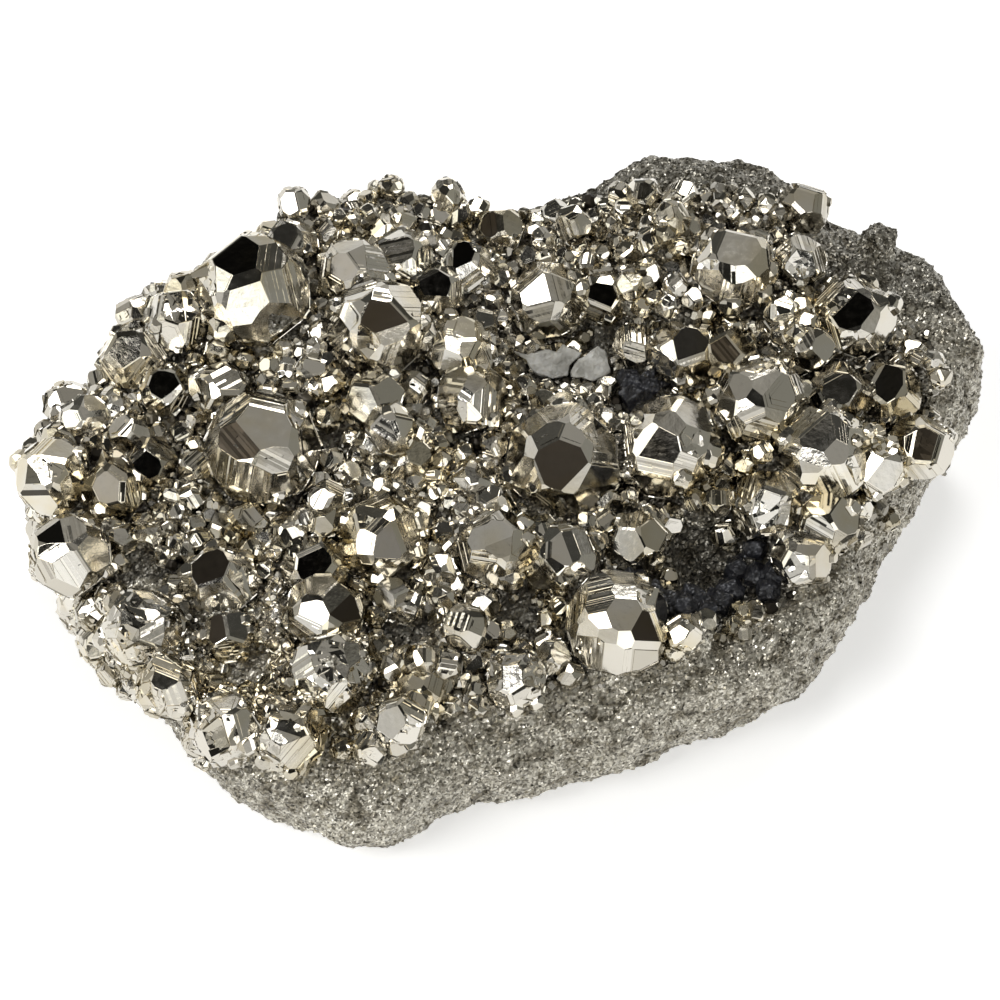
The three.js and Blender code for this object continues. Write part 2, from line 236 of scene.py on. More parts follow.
class Face:
    """A crystal face in its own plane: x along its longest edge, y across it."""

    def __init__(self, corners):
        edges = np.roll(corners, -1, axis=0) - corners
        lengths = np.linalg.norm(edges, axis=1)
        self.origin = corners.mean(axis=0)
        self.x = edges[lengths.argmax()] / lengths.max()
        self.normal = area_vector(corners)
        self.normal /= np.linalg.norm(self.normal)
        self.y = np.cross(self.normal, self.x)
        self.outline = (corners - self.origin) @ np.stack([self.x, self.y], axis=1)
        spread = self.outline - np.roll(self.outline, -1, axis=0)
        self.area = np.linalg.norm(area_vector(corners))
        self.edge_normals = np.stack([-spread[:, 1], spread[:, 0]], axis=1)
        self.edge_normals /= np.linalg.norm(self.edge_normals, axis=1)[:, None]
        self.edge_limits = (self.outline * self.edge_normals).sum(axis=1)
        self.width = 2 * math.sqrt(self.area / math.pi)

    def place(self, outline, heights):
        """Space points of plane points that stand at some height above the face."""
        flat = outline[:, :1] * self.x + outline[:, 1:] * self.y
        return self.origin + flat + np.reshape(heights, (-1, 1)) * self.normal

    def layer(self, shell, outline, height, slope, tone):
        """A thin plate of growth over part of the face. The slope is its rise along each plane axis."""
        if len(outline) < 3:
            return
        middle = outline.mean(axis=0)
        heights = height + (outline - middle) @ np.asarray(slope)
        count = len(outline)
        top = self.place(outline, heights)
        foot = self.place(outline, np.full(count, -0.02 * MM))
        faces = [list(range(count))]
        faces += [[i, count + i, count + (i + 1) % count, (i + 1) % count] for i in range(count)]
        shell.add(np.vstack([top, foot]), faces, tone)

    def shrunk(self, insets):
        """The outline with each edge moved inwards by its own distance."""
        outline = self.outline
        for towards, limit, inset in zip(self.edge_normals, self.edge_limits, insets):
            outline = clipped(outline, towards, limit - inset)
            if len(outline) < 3:
                break
        return outline


def add_terraces(shell, face, random, tone):
    """Wide growth layers with straight edges, each on the one below."""
    height = 0.0
    insets = np.zeros(len(face.outline))
    for _ in range(random.integers(1, 4)):
        steps = random.uniform(0.01, 0.16, len(insets)) * (random.random(len(insets)) < 0.7)
        insets = insets + face.width * steps
        height += random.uniform(0.04, 0.14) * MM
        face.layer(shell, face.shrunk(insets + 0.05 * MM), height, random.normal(0, 0.004, 2), tone)


def add_striations(shell, face, random, tone):
    """Narrow steps parallel to the longest edge."""
    insets = np.full(len(face.outline), 0.06 * MM)
    outline = face.shrunk(insets)
    if len(outline) < 3:
        return
    low, high = outline[:, 1].min(), outline[:, 1].max()
    y = low
    while y < high:
        width = random.uniform(0.12, 0.75) * MM * (0.6 + 0.4 * face.width / (8 * MM))
        strip = clipped(clipped(outline, np.array([0, 1]), y + width), np.array([0, -1]), -y)
        if len(strip) >= 3 and random.random() < 0.3:
            share = random.uniform(0.3, 0.9)
            edge = strip[:, 0].min() + share * np.ptp(strip[:, 0])
            side = random.choice([-1, 1])
            strip = clipped(strip, np.array([side, 0]), side * edge)
        slope = math.tan(math.radians(random.normal(0, 7)))
        face.layer(shell, strip, random.uniform(0.03, 0.16) * MM, (0, slope), tone)
        y += width


def add_mosaic(shell, face, random, tone):
    """Many small blocks that lie nearly parallel to the face."""
    reach = np.abs(face.outline).max()
    for _ in range(int(5 + 2.2 * face.area / MM**2)):
        middle = random.uniform(-reach, reach, 2)
        size = random.uniform(0.25, 0.9) * MM
        outline = face.shrunk(np.full(len(face.outline), 0.04 * MM))
        turn = random.uniform(0, math.tau)
        for k in range(random.integers(3, 6)):
            angle = turn + k * math.tau / 4.6
            towards = np.array([math.cos(angle), math.sin(angle)])
            outline = clipped(outline, towards, middle @ towards + size * random.uniform(0.4, 1))
            if len(outline) < 3:
                break
        slope = np.tan(np.radians(random.normal(0, 9, 2)))
        face.layer(shell, outline, random.uniform(0.05, 0.25) * MM, slope, tone)


FINISHES = {"smooth": None, "terraced": add_terraces, "striated": add_striations, "mosaic": add_mosaic}


def chipped_body(normals, distances, random, depth):
    """A crystal solid with small uneven facets worn across its edges and corners."""
    corners, faces = enclosed(normals, distances)
    mesh = bmesh.new()
    made = [mesh.verts.new(corner) for corner in corners]
    for face in faces:
        mesh.faces.new([made[i] for i in face])
    mesh.normal_update()
    size = np.linalg.norm(corners, axis=1).mean()
    cuts = []
    for edge in mesh.edges:
        if len(edge.link_faces) == 2:
            middle = (edge.verts[0].co + edge.verts[1].co) / 2
            lean = random.uniform(0.25, 0.75)
            normal = edge.link_faces[0].normal.lerp(edge.link_faces[1].normal, lean)
            if edge.calc_face_angle() > math.radians(15):
                cuts.append((middle, normal, depth * size * random.uniform(0.2, 1) ** 2))
    for corner in mesh.verts:
        normal = corner.co.normalized() + Vector(random.normal(0, 0.12, 3))
        cuts.append((corner.co.copy(), normal, 2.2 * depth * size * random.uniform(0.1, 1)))
    for point, normal, cut_depth in cuts:
        normal = normal.normalized()
        geometry = mesh.verts[:] + mesh.edges[:] + mesh.faces[:]
        cut = bmesh.ops.bisect_plane(
            mesh, geom=geometry, plane_co=point - normal * cut_depth, plane_no=normal, clear_outer=True
        )
        rim = [part for part in cut["geom_cut"] if isinstance(part, bmesh.types.BMEdge)]
        if len(rim) >= 3:
            bmesh.ops.contextual_create(mesh, geom=rim)
    bmesh.ops.remove_doubles(mesh, verts=mesh.verts, dist=1e-3 * size)
    bmesh.ops.recalc_face_normals(mesh, faces=mesh.faces)
    mesh.verts.index_update()
    corners = np.array([corner.co for corner in mesh.verts])
    faces = [[corner.index for corner in face.verts] for face in mesh.faces]
    mesh.free()
    return (corners, faces, *wide_faces(corners, faces))


def add_crystal(shell, centre, corners, body, random, shares, chosen=()):
    """A crystal's body with growth detail on its wide faces. Chosen faces: direction, tone (a painted
    reflection) and finish.
    """
    _, faces, wide, directions = body
    tones = np.full(len(faces), np.clip(random.normal(0.5, 0.14), 0.25, 1))
    names = list(shares)
    finishes = dict.fromkeys(wide)
    for index in wide:
        finishes[index] = names[random.choice(len(names), p=np.array(list(shares.values())))]
    # The chosen tones paint reflections into these faces' colour.
    for bearing, height, tone, finish in chosen:
        index = wide[(directions @ np.array(direction(bearing, height))).argmax()]
        tones[index] = tone
        finishes[index] = finish
    shell.add(corners + centre, faces, tones)
    for index, finish in finishes.items():
        if FINISHES[finish]:
            face = Face(corners[list(faces[index])] + centre)
            FINISHES[finish](shell, face, random, tones[index])


# ---------------------------------------------------------------- the named crystals

FINISH_SHARES = {"smooth": 0.3, "terraced": 0.18, "striated": 0.36, "mosaic": 0.16}
BROKEN_SHARES = {"smooth": 0.05, "terraced": 0.12, "striated": 0.13, "mosaic": 0.7}

# Crystals of the front left slope that are broken and knobbly rather than sharp.
BROKEN_CRYSTALS = {f"crystal_left_slope_{number}" for number in (2, 3, 7, 8, 9)} | {"crystal_near_edge"}

# Tones of faces, from the darkest to the palest. On the chosen faces below they are painted reflections: the
# dark tones paint a mirrored dark room into the face's colour, the pale one a mirrored bright light.
BLACK, BROWN, DULL, PLAIN, PALE = 0.0, 0.1, 0.3, 0.5, 0.9

# Faces that show best: bearing and height of the face's direction, tone and finish. The tones are painted
# reflections; the finishes are growth detail in the geometry.
CHOSEN_FACES = {
    "crystal_crown": [(-40, 75, BLACK, "smooth"), (5, 20, PALE, "smooth")],
    "crystal_brown_face": [(12, 52, BROWN, "smooth"), (-45, 30, PALE, "terraced")],
    "crystal_centre": [(-3, 46, BROWN, "smooth"), (-110, 75, PLAIN, "terraced")],
    "crystal_front": [
        (0, 69, PLAIN, "smooth"),
        (159, 84, PLAIN, "smooth"),
        (45, 38, BROWN, "smooth"),
        (22, 4, DULL, "terraced"),
        (-31, 6, PLAIN, "striated"),
    ],
    "crystal_east": [(-26, 58, BLACK, "smooth"), (0, 18, PALE, "mosaic")],
    "crystal_big_left": [
        (23, 74, PLAIN, "smooth"),
        (-57, 51, BROWN, "striated"),
        (-32, 25, DULL, "striated"),
    ],
    "crystal_west_lower": [(-90, 80, BLACK, "smooth"), (6, 26, PALE, "striated")],
    "crystal_west_upper": [
        (-30, 43, BLACK, "smooth"),
        (-19, 18, BLACK, "smooth"),
        (130, 75, PLAIN, "smooth"),
    ],
    "crystal_mid_right": [(-26, 43, BLACK, "smooth"), (72, 73, PLAIN, "smooth")],
    "crystal_broad_right": [(27, 76, PLAIN, "smooth"), (0, 18, DULL, "striated")],
    "crystal_striped_right": [(-30, 73, PLAIN, "smooth"), (4, 24, PALE, "striated")],
    "crystal_peak_right": [(15, 74, PLAIN, "smooth"), (-29, 39, PALE, "mosaic")],
    "crystal_dark_square": [(16, 45, BLACK, "smooth"), (-58, 38, PALE, "terraced")],
    "crystal_rounded_back": [(-31, 54, PALE, "smooth"), (-9, 20, DULL, "striated")],
    "crystal_wedge": [(-27, 45, BLACK, "smooth"), (18, 21, PALE, "smooth")],
    "crystal_striped_back": [(-21, 60, DULL, "striated")],
    "crystal_pale_face": [(0, 76, PALE, "smooth"), (-58, 44, PALE, "smooth")],
    "crystal_grey_face": [(15, 70, PLAIN, "smooth")],
    "crystal_left_slope_1": [(-26, 36, PALE, "terraced"), (54, 54, BROWN, "smooth")],
    "crystal_left_slope_2": [(-27, 38, PALE, "mosaic"), (40, 57, PLAIN, "smooth")],
    "crystal_left_slope_3": [(-10, 40, DULL, "mosaic")],
    "crystal_left_slope_4": [(-63, 75, BROWN, "smooth"), (4, 31, PALE, "smooth")],
    "crystal_left_slope_5": [(10, 57, BLACK, "smooth")],
    "crystal_left_slope_6": [(-50, 65, BROWN, "smooth")],
    "crystal_left_slope_7": [(-5, 50, PALE, "mosaic")],
    "crystal_left_slope_8": [(-20, 40, DULL, "mosaic")],
    "crystal_west_1": [(-10, 60, PLAIN, "terraced")],
    "crystal_west_2": [(15, 70, PLAIN, "mosaic")],
    "crystal_west_3": [(0, 54, BLACK, "smooth")],
    "crystal_west_5": [(0, 53, BLACK, "smooth")],
    "crystal_west_6": [(-11, 55, BLACK, "smooth")],
    "crystal_north_1": [(-35, 71, BLACK, "smooth")],
    "crystal_north_2": [(-13, 57, BLACK, "smooth")],
    "crystal_north_3": [(-20, 65, PLAIN, "terraced")],
    "crystal_north_4": [(-47, 58, BROWN, "striated")],
    "crystal_middle_1": [(-22, 30, PALE, "smooth"), (-10, 70, PLAIN, "terraced")],
    "crystal_middle_2": [(-35, 60, PALE, "striated")],
    "crystal_middle_3": [(-35, 38, PALE, "smooth"), (20, 60, DULL, "smooth")],
    "crystal_middle_4": [(-35, 40, PALE, "smooth"), (47, 60, DULL, "smooth")],
    "crystal_middle_5": [(-9, 52, BLACK, "smooth")],
    "crystal_right_1": [(15, 56, BLACK, "smooth")],
    "crystal_right_2": [(-20, 60, BROWN, "striated")],
    "crystal_right_3": [(-13, 62, PLAIN, "smooth")],
    "crystal_right_4": [(-29, 62, BLACK, "smooth"), (15, 20, PALE, "smooth")],
    "crystal_right_5": [(0, 55, BROWN, "mosaic")],
    "crystal_right_6": [(17, 30, PALE, "smooth")],
    "crystal_right_7": [(0, 40, PALE, "mosaic")],
    "crystal_right_8": [(-26, 30, PALE, "striated"), (26, 55, PLAIN, "smooth")],
    "crystal_right_9": [(-10, 35, PALE, "mosaic")],
    "crystal_back_right_1": [(-7, 35, PALE, "mosaic")],
    "crystal_back_right_2": [(0, 70, PLAIN, "smooth")],
    "crystal_near_edge": [(-30, 63, PALE, "terraced")],
}


def random_turn(random):
    """A rotation matrix, evenly spread over all rotations."""
    q = random.normal(size=4)
    q /= np.linalg.norm(q)
    w, x, y, z = q
    return np.array(
        [
            [1 - 2 * (y * y + z * z), 2 * (x * y - z * w), 2 * (x * z + y * w)],
            [2 * (x * y + z * w), 1 - 2 * (x * x + z * z), 2 * (y * z - x * w)],
            [2 * (x * z - y * w), 2 * (y * z + x * w), 1 - 2 * (x * x + y * y)],
        ]
    )


def small_turn(random, degrees):
    """A rotation by a small random angle."""
    axis = Vector(random.normal(size=3)).normalized()
    return np.array(Matrix.Rotation(math.radians(random.normal(0, degrees)), 3, axis))


def build_named_crystals(material):
    """One piece for each crystal node, with parallel overgrowths on its edges, away from its main face."""
    placed = []
    names = sorted(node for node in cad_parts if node.startswith("crystal_"))
    for index, node in enumerate(names):
        random = np.random.default_rng(1000 + index)
        centre, normals, distances = solid_of(node)
        broken = node in BROKEN_CRYSTALS
        body = chipped_body(normals, distances, random, 0.1 if broken else 0.06)
        corners = body[0]
        chosen = CHOSEN_FACES.get(node, [(0, 55, PLAIN, "smooth")])
        shell = Shell()
        shares = BROKEN_SHARES if broken else FINISH_SHARES
        add_crystal(shell, centre, corners, body, random, shares, chosen)
        bare = [np.array(direction(bearing, height)) for bearing, height, _, _ in chosen]
        base_corners, base_faces = enclosed(normals, distances)
        for _ in range(16):
            face = base_faces[random.integers(len(base_faces))]
            i = random.integers(len(face))
            share = random.random()
            spot = base_corners[face[i]] * share + base_corners[face[i - 1]] * (1 - share)
            outward = spot / np.linalg.norm(spot)
            if max(outward @ way for way in bare) > 0.75 or outward[2] > random.uniform(0.1, 0.9):
                continue
            scale = random.uniform(0.14, 0.36)
            turned = corners @ small_turn(random, 3).T * scale
            add_crystal(shell, centre + spot * (1 - 0.5 * scale), turned, body, random, {"smooth": 1})
        shell.piece("grown_" + node, material, "pyrite", [node])
        placed.append((centre, np.linalg.norm(base_corners, axis=1).mean()))
    return placed


# ---------------------------------------------------------------- the rock

GRAIN = 0.55 * MM  # size of the facets that the rock's grains show
SKIN_DEPTH = 0.45 * MM  # the rock's visible skin lies this far under the CAD solids
BARE_WALL = 14 * MM  # below this height the wall counts as bare, away from all crystals

# Plan outline, in millimetres, of the crystal-covered part of the bed.
DRUSE_OUTLINE = np.array(
    [
        (66, 20), (66, 9), (63, 2), (58, -7), (53, -13), (46, -19), (39.5, -26), (33, -31), (25, -34),
        (18, -37), (7, -39.5), (-2, -42), (-11, -47.5), (-20, -51), (-34, -52), (-42, -50), (-52, -41),
        (-63, -28), (-75, -8), (-79, 2), (-73, 14), (-66, 28), (-58, 34), (-45, 40), (-36, 45), (-28, 49),
        (-18, 49), (-6.5, 48), (-1, 47), (8, 47), (15, 46), (26, 44), (38, 42), (44, 40), (48, 36), (51, 30),
        (57, 24),
    ],
    float,
)

# Bare hollows between the crystals: plan place and radius in millimetres.
HOLLOWS = [
    (-27.5, -1, 4), (-15, -32, 6), (1, -28, 5), (14, 20, 5), (28, -16, 7), (17, -9, 4),
    (-56, -22, 6), (-38, -37, 5),
]


def inside_druse(x, y):
    """How far a plan point in millimetres lies inside the druse's outline, negative outside."""
    ax, ay = DRUSE_OUTLINE[:, 0], DRUSE_OUTLINE[:, 1]
    bx, by = np.roll(ax, -1), np.roll(ay, -1)
    crossing = ((ay > y) != (by > y)) & (x < (bx - ax) * (y - ay) / (by - ay + 1e-12) + ax)
    share = np.clip(((x - ax) * (bx - ax) + (y - ay) * (by - ay)) / ((bx - ax) ** 2 + (by - ay) ** 2), 0, 1)
    away = np.hypot(x - ax - share * (bx - ax), y - ay - share * (by - ay)).min()
    return away if crossing.sum() % 2 else -away


def tree_of(nodes):
    """A search tree over the surfaces of some CAD nodes."""
    corners, faces = [], []
    for node in nodes:
        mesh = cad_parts[node].data
        faces += [[len(corners) + i for i in face.vertices] for face in mesh.polygons]
        corners += [corner.co.copy() for corner in mesh.vertices]
    return BVHTree.FromPolygons(corners, faces)


def build_rock(material):
    """The rock with its grains as real facets. It is one skin under all the crystals, so no gap shows."""
    skin = remeshed([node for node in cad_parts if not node.startswith("quartz")], GRAIN)
    corners, normals = arrays_of(skin)
    random = np.random.default_rng(7)
    others = tree_of([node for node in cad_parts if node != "pyrite_rock"])
    low = corners[:, 2] < BARE_WALL
    away = np.array([1 if flat else others.find_nearest(Vector(c))[3] for flat, c in zip(low, corners)])
    # Lumps and grains fade out beside the other nodes, where the skin lies deeper.
    free = np.clip((away - 0.3 * MM) / (1.2 * MM), 0, 1)
    lumps = noise_at(corners, 8 * MM) + 0.6 * noise_at(corners, 3.5 * MM)
    clods = noise_at(corners, 1.4 * MM)
    lift = free * (0.9 * MM * lumps + 0.35 * MM * clods) - SKIN_DEPTH - 0.5 * MM * (away < 0.3 * MM)
    grains = random.normal(0, 0.13 * MM, corners.shape) * (0.3 + 0.7 * free[:, None])
    moved = corners + normals * lift[:, None] + grains
    moved[:, 2] = np.maximum(moved[:, 2], 0)
    skin.vertices.foreach_set("co", moved.ravel())
    skin.update()
    top = (corners[:, 2] > 16 * MM) & (normals[:, 2] > 0.2)
    # Painted shade: the skin's colour is darkened on its upward faces between the crystals, less so on the
    # far rim and hardly on the broken front left.
    among = np.array([up and inside_druse(x, y) > 1.5 for up, (x, y, _) in zip(top, moved / MM)])
    far = moved[:, 1] > 24 * MM
    pale = (moved[:, 0] < -22 * MM) & (moved[:, 1] < -22 * MM)
    tone = skin.attributes.new("tone", "FLOAT", "POINT")
    tone.data.foreach_set("value", top * np.where(among, np.where(pale, 0.05, 1), 0.65 * far))
    bare_top = BVHTree.FromPolygons(
        [Vector(c) for c in moved], [tuple(face.vertices) for face in skin.polygons]
    )
    return finished("pyrite_rock_grains", skin, material, ["pyrite_rock"]), bare_top


# ---------------------------------------------------------------- the druse of small crystals


def unit_crystals(random, count, chip):
    """Bodies of about unit radius: pyritohedra, some with octahedron faces and some with cube faces."""
    made = []
    for index in range(count):
        normals = [form(0, 1, 2)]
        distances = [0.86 * random.uniform(0.88, 1.1, 12)]
        if index % 3 == 1:
            normals.append(form(1, 1, 1))
            distances.append(0.93 * random.uniform(0.94, 1.06, 8))
        if index % 3 == 2:
            normals.append(form(1, 0, 0))
            distances.append(0.84 * random.uniform(0.94, 1.06, 6))
        normals, distances = np.vstack(normals), np.concatenate(distances)
        if chip:
            made.append(chipped_body(normals, distances, random, chip))
        else:
            made.append((*enclosed(normals, distances), [], []))
    return made


def bed_spot(random, rock_tree):
    """A random place on the bed in millimetres, its outward direction and how far it is from the rim."""
    x, y = random.uniform(DRUSE_OUTLINE.min(axis=0), DRUSE_OUTLINE.max(axis=0))
    hit, _, _, _ = rock_tree.ray_cast(Vector((x, y, 100)) * MM, Vector((0, 0, -1)))
    return hit and (hit / MM, Vector((0, 0, 1)), inside_druse(x, y))


def slope_spot(random, rock_tree):
    """The same for the west and front left walls, where the crust runs over the rim and far down."""
    bearing = random.uniform(-100, -15)
    foot = 5 + 17 * np.clip((bearing + 75) / 45, 0, 1)
    outward = direction(bearing, 0)
    start = Vector((-5, -4, random.uniform(foot, 30))) + outward * 110
    hit, _, _, _ = rock_tree.ray_cast(start * MM, -outward)
    return hit and (hit / MM, direction(bearing, 35), (hit.z / MM - foot) / 2)


class Packing:
    """Centres and radii, in millimetres, of the crystals placed so far. The named ones come first."""

    def __init__(self, placed, room):
        self.named = self.count = len(placed)
        self.balls = np.zeros((self.named + room, 4))
        self.balls[: self.named] = [(*(centre / MM), size / MM) for centre, size in placed]
        others = [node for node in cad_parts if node.startswith(("sphalerite", "quartz"))]
        self.minerals = tree_of(others)

    def has_room(self, centre, radius, spacing):
        """Whether a ball keeps its spacing to the others and leaves the named crystals and minerals bare."""
        balls = self.balls[: self.count]
        gaps = np.linalg.norm(balls[:, :3] - centre, axis=1)
        bare = gaps[: self.named] > 0.93 * balls[: self.named, 3] + 0.6 * radius
        spaced = gaps > spacing * (balls[:, 3] + radius)
        if not (bare.all() and spaced.all()):
            return False
        return self.minerals.find_nearest(Vector(centre) * MM)[3] > 0.9 * radius * MM

    def add(self, centre, radius):
        """Take up the room of one more ball."""
        self.balls[self.count] = (*centre, radius)
        self.count += 1


def in_hollow(random, x, y):
    """Whether a plan point falls in a bare hollow, whose edge is ragged."""
    return any(math.hypot(x - hx, y - hy) < reach * random.uniform(0.6, 1.1) for hx, hy, reach in HOLLOWS)


def build_druse(rock_tree, placed, bright, dim):
    """Small crystals of falling size, packed between the named ones."""
    random = np.random.default_rng(21)
    shares = {"smooth": 0.5, "terraced": 0.15, "striated": 0.25, "mosaic": 0.1}
    # The small and fine classes take the dim copy, whose darker colour is painted shade.
    classes = [
        ("druse_medium", bright, 800, 30000, (1.8, 4.3), 0.58, unit_crystals(random, 16, 0.06)),
        ("druse_small", dim, 1200, 14000, (0.95, 1.9), 0.6, unit_crystals(random, 12, 0.06)),
        ("druse_fine", dim, 1500, 12000, (0.45, 0.95), 0.6, unit_crystals(random, 12, 0)),
    ]
    packing = Packing(placed, sum(wanted for _, _, wanted, *_ in classes))
    west_end = cad_box[0][0] / MM
    for name, material, wanted, tries, (smallest, largest), spacing, bodies in classes:
        shell = Shell()
        full = packing.count + wanted
        for _ in range(tries):
            if packing.count == full:
                break
            spot = (slope_spot if random.random() < 0.25 else bed_spot)(random, rock_tree)
            if not spot:
                continue
            place, outward, inset = spot
            radius = smallest + (largest - smallest) * random.random() ** 1.5
            margin = 1.1 if place.y > 15 else 0.4
            if inset < radius * margin + 3 * noise.noise(Vector((place.x, place.y, 0)) / 6):
                continue
            centre = place + 0.35 * radius * outward
            if centre.x - radius < west_end:
                continue
            if in_hollow(random, place.x, place.y) or not packing.has_room(centre, radius, spacing):
                continue
            packing.add(centre, radius)
            body = bodies[random.integers(len(bodies))]
            turned = body[0] @ random_turn(random).T * radius * MM
            centre = np.array(centre) * MM
            broken = place.x < -20 and place.y < -22
            if name == "druse_medium":
                add_crystal(shell, centre, turned, body, random, BROKEN_SHARES if broken else shares)
            else:
                tone = np.clip(random.normal(0.8 if broken else 0.45, 0.2), 0.05, 1)
                shell.add(turned + centre, body[1], tone)
        shell.piece(name, material, "pyrite")


# ---------------------------------------------------------------- sphalerite and quartz


def build_sphalerite(material):
    """Knobbly lumps with small broken faces."""
    for node in [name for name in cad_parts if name.startswith("sphalerite")]:
        skin = remeshed([node], 0.22 * MM)
        corners, normals = arrays_of(skin)
        lift = 0.25 * MM * noise_at(corners, 1.3 * MM) + 0.14 * MM * noise_at(corners, 0.5 * MM)
        skin.vertices.foreach_set("co", (corners + normals * lift[:, None]).ravel())
        finished("grown_" + node, skin, material, [node])


def build_quartz(material):
    """Thin broken plates with chipped rims and a faintly uneven surface."""
    for node in [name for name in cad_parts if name.startswith("quartz")]:
        skin = remeshed([node], 0.12 * MM)
        corners, normals = arrays_of(skin)
        lift = 0.3 * MM * noise_at(corners, 1.3 * MM) + 0.1 * MM * noise_at(corners, 0.4 * MM)
        skin.vertices.foreach_set("co", (corners + normals * lift[:, None]).ravel())
        finished("broken_" + node, skin, material, [node])


# ---------------------------------------------------------------- materials


def new_material(name):
    """A material, its node tree and its shader."""
    material = bpy.data.materials.new(name)
    material.use_nodes = True
    return material, material.node_tree, material.node_tree.nodes["Principled BSDF"]


def node_of(tree, kind, **settings):
    """A new shader node with some of its settings."""
    made = tree.nodes.new("ShaderNode" + kind)
    for key, value in settings.items():
        setattr(made, key, value)
    return made


def ramp_of(tree, factor, stops):
    """A colour ramp's output. The stops are positions and colours."""
    ramp = node_of(tree, "ValToRGB")
    while len(ramp.color_ramp.elements) < len(stops):
        ramp.color_ramp.elements.new(0.5)
    for element, (position, colour) in zip(ramp.color_ramp.elements, stops):
        element.position = position
        element.color = (*colour, 1)
    tree.links.new(factor, ramp.inputs["Fac"])
    return ramp.outputs["Color"]


def texture_at(tree, kind, scale):
    """A 3-D texture in object space. The scale is in repeats per metre."""
    place = node_of(tree, "TexCoord")
    texture = node_of(tree, "Tex" + kind)
    texture.inputs["Scale"].default_value = scale
    tree.links.new(place.outputs["Object"], texture.inputs["Vector"])
    return texture


def noise_of(tree, scale, detail=2):
    """Smooth noise in object space, from 0 to 1. The detail is its number of finer layers."""
    texture = texture_at(tree, "Noise", scale)
    texture.inputs["Detail"].default_value = detail
    return texture.outputs["Fac"]


def vector_math(tree, operation, first, second):
    """The result of an operation on a socket and on a socket or value."""
    made = node_of(tree, "VectorMath", operation=operation)
    tree.links.new(first, made.inputs[0])
    other = made.inputs["Scale"] if operation == "SCALE" else made.inputs[1]
    if isinstance(second, bpy.types.NodeSocket):
        tree.links.new(second, other)
    else:
        other.default_value = second
    return made.outputs["Value" if operation == "DOT_PRODUCT" else "Vector"]


def range_of(tree, value, source, target, **settings):
    """A value mapped from its source range to a target range. Each range is a pair of ends."""
    made = node_of(tree, "MapRange", **settings)
    made.inputs["From Min"].default_value, made.inputs["From Max"].default_value = source
    made.inputs["To Min"].default_value, made.inputs["To Max"].default_value = target
    tree.links.new(value, made.inputs["Value"])
    return made.outputs["Result"]


def bump_of(tree, scale, detail, strength, depth):
    """A bump node over a noise texture."""
    bump = node_of(tree, "Bump")
    bump.inputs["Strength"].default_value = strength
    bump.inputs["Distance"].default_value = depth
    tree.links.new(noise_of(tree, scale, detail), bump.inputs["Height"])
    return bump


def pyrite_material(name, shade, rougher):
    """Pale brassy mirror faces with fine etching. The shade darkens them, as painted shade; rougher adds to
    the roughness.
    """
    material, tree, shader = new_material(name)
    tone = node_of(tree, "Attribute", attribute_name="tone")
    # The tone sets the colour. It varies at random from crystal to crystal; on chosen faces it is a painted
    # reflection, darkest for a mirrored dark room and palest for a mirrored bright light.
    colour = ramp_of(
        tree,
        tone.outputs["Fac"],
        [
            (0.0, (0.07, 0.065, 0.056)),
            (0.1, (0.05, 0.041, 0.031)),
            (0.25, (0.46, 0.43, 0.362)),
            (0.5, (0.625, 0.593, 0.524)),
            (1.0, (0.785, 0.76, 0.695)),
        ],
    )
    tarnish = ramp_of(tree, noise_of(tree, 110, 3), [(0.48, (1, 1, 1)), (0.66, (0.96, 0.92, 0.81))])
    tarnished = vector_math(tree, "MULTIPLY", colour, tarnish)
    shaded = vector_math(tree, "SCALE", tarnished, shade)
    tree.links.new(shaded, shader.inputs["Base Color"])
    shader.inputs["Metallic"].default_value = 1.0
    brown = ramp_of(
        tree,
        tone.outputs["Fac"],
        [(0.0, (0.02, 0.02, 0.02)), (0.1, (0.34, 0.34, 0.34)), (0.2, (0.02, 0.02, 0.02))],
    )
    etched = range_of(tree, noise_of(tree, 900, 4), (0.35, 0.75), (0.06 + rougher, 0.14 + rougher))
    total = node_of(tree, "Math", operation="ADD")
    tree.links.new(etched, total.inputs[0])
    tree.links.new(brown, total.inputs[1])
    tree.links.new(total.outputs[0], shader.inputs["Roughness"])
    ripples = bump_of(tree, 350, 3, 0.3, 0.12 * MM)
    wrinkles = bump_of(tree, 1500, 5, 0.25, 0.05 * MM)
    tree.links.new(ripples.outputs["Normal"], wrinkles.inputs["Normal"])
    tree.links.new(wrinkles.outputs["Normal"], shader.inputs["Normal"])
    return material


def rock_material():
    """Massive pyrite: grains that each glint their own way, darker in the pores, with painted shade between
    the crystals.
    """
    material, tree, shader = new_material("pyrite_grains")
    grains = texture_at(tree, "Voronoi", 1 / (0.34 * MM))
    colour = ramp_of(
        tree,
        grains.outputs["Color"],
        [
            (0.1, (0.07, 0.064, 0.051)),
            (0.4, (0.33, 0.308, 0.256)),
            (0.65, (0.6, 0.569, 0.49)),
            (0.9, (0.85, 0.82, 0.73)),
        ],
    )
    tone = node_of(tree, "Attribute", attribute_name="tone")
    # Painted shade: the tone attribute darkens the colour down to 0.4 between the crystals.
    shade = range_of(tree, tone.outputs["Fac"], (0, 1), (1, 0.4))
    dips = ramp_of(tree, noise_of(tree, 380, 4), [(0.36, (0.45, 0.43, 0.39)), (0.52, (1, 1, 1))])
    shaded = vector_math(tree, "SCALE", vector_math(tree, "MULTIPLY", colour, dips), shade)
    tree.links.new(shaded, shader.inputs["Base Color"])
    shader.inputs["Metallic"].default_value = 0.85
    shader.inputs["Roughness"].default_value = 0.32
    # Each grain leans its own way, by its random colour.
    surface = node_of(tree, "NewGeometry").outputs["Normal"]
    tilt = vector_math(tree, "SUBTRACT", grains.outputs["Color"], (0.5, 0.5, 0.5))
    leaning = vector_math(tree, "ADD", surface, vector_math(tree, "SCALE", tilt, 0.9))
    unit = node_of(tree, "VectorMath", operation="NORMALIZE")
    tree.links.new(leaning, unit.inputs[0])
    tree.links.new(unit.outputs["Vector"], shader.inputs["Normal"])
    return material


